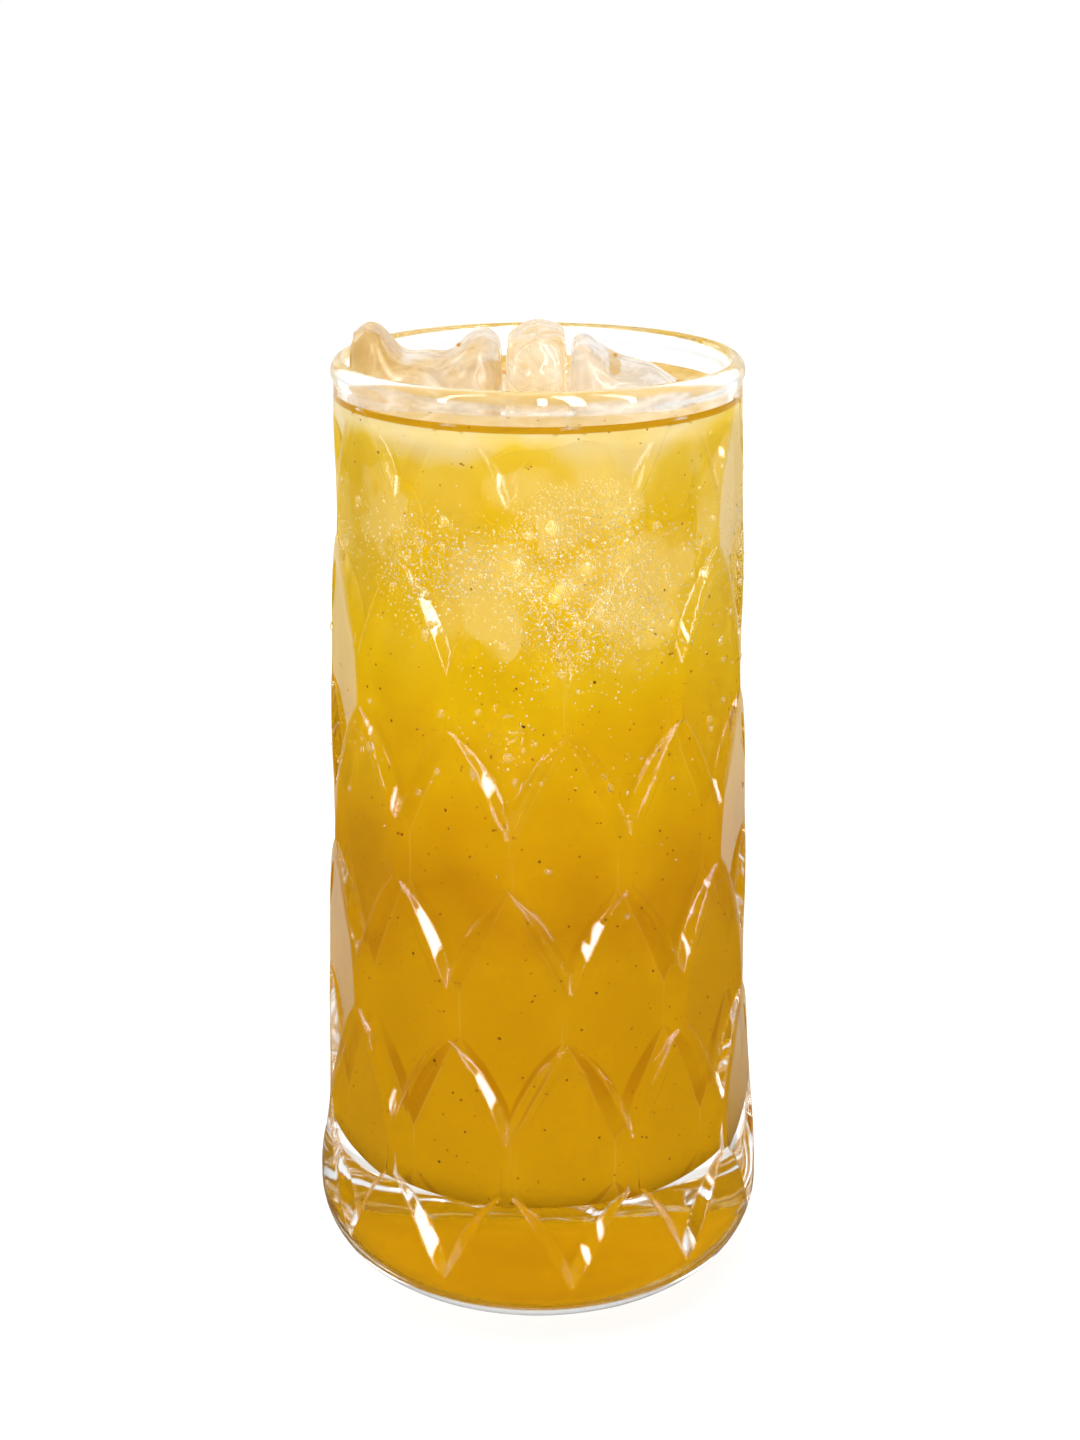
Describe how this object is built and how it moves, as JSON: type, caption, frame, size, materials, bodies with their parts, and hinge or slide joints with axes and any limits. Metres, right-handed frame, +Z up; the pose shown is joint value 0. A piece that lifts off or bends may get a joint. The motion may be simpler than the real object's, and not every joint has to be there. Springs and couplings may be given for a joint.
{
  "type": "glass of mango iced tea",
  "caption": "Tall pressed drinking glass with a leaf-cut wall and a heavy base, filled with cloudy mango iced tea, with melting ice standing out of the drink.",
  "frame": {"origin": "middle of the flat ring under the base that the glass stands on", "axes": "+Z up along the axis of the glass, -Y towards the viewer, +X to the viewer's right"},
  "size_m": [0.0744, 0.0744, 0.1589],
  "materials": {
    "glass": "clear fire-polished pressed glass",
    "drink": "cloudy golden drink with fine pulp",
    "ice": "wet melting ice"
  },
  "bodies": {
    "root": {"glass": "glass", "drink": "drink", "ice_left": "ice", "ice_middle": "ice", "ice_right": "ice"}
  },
  "joints": []
}
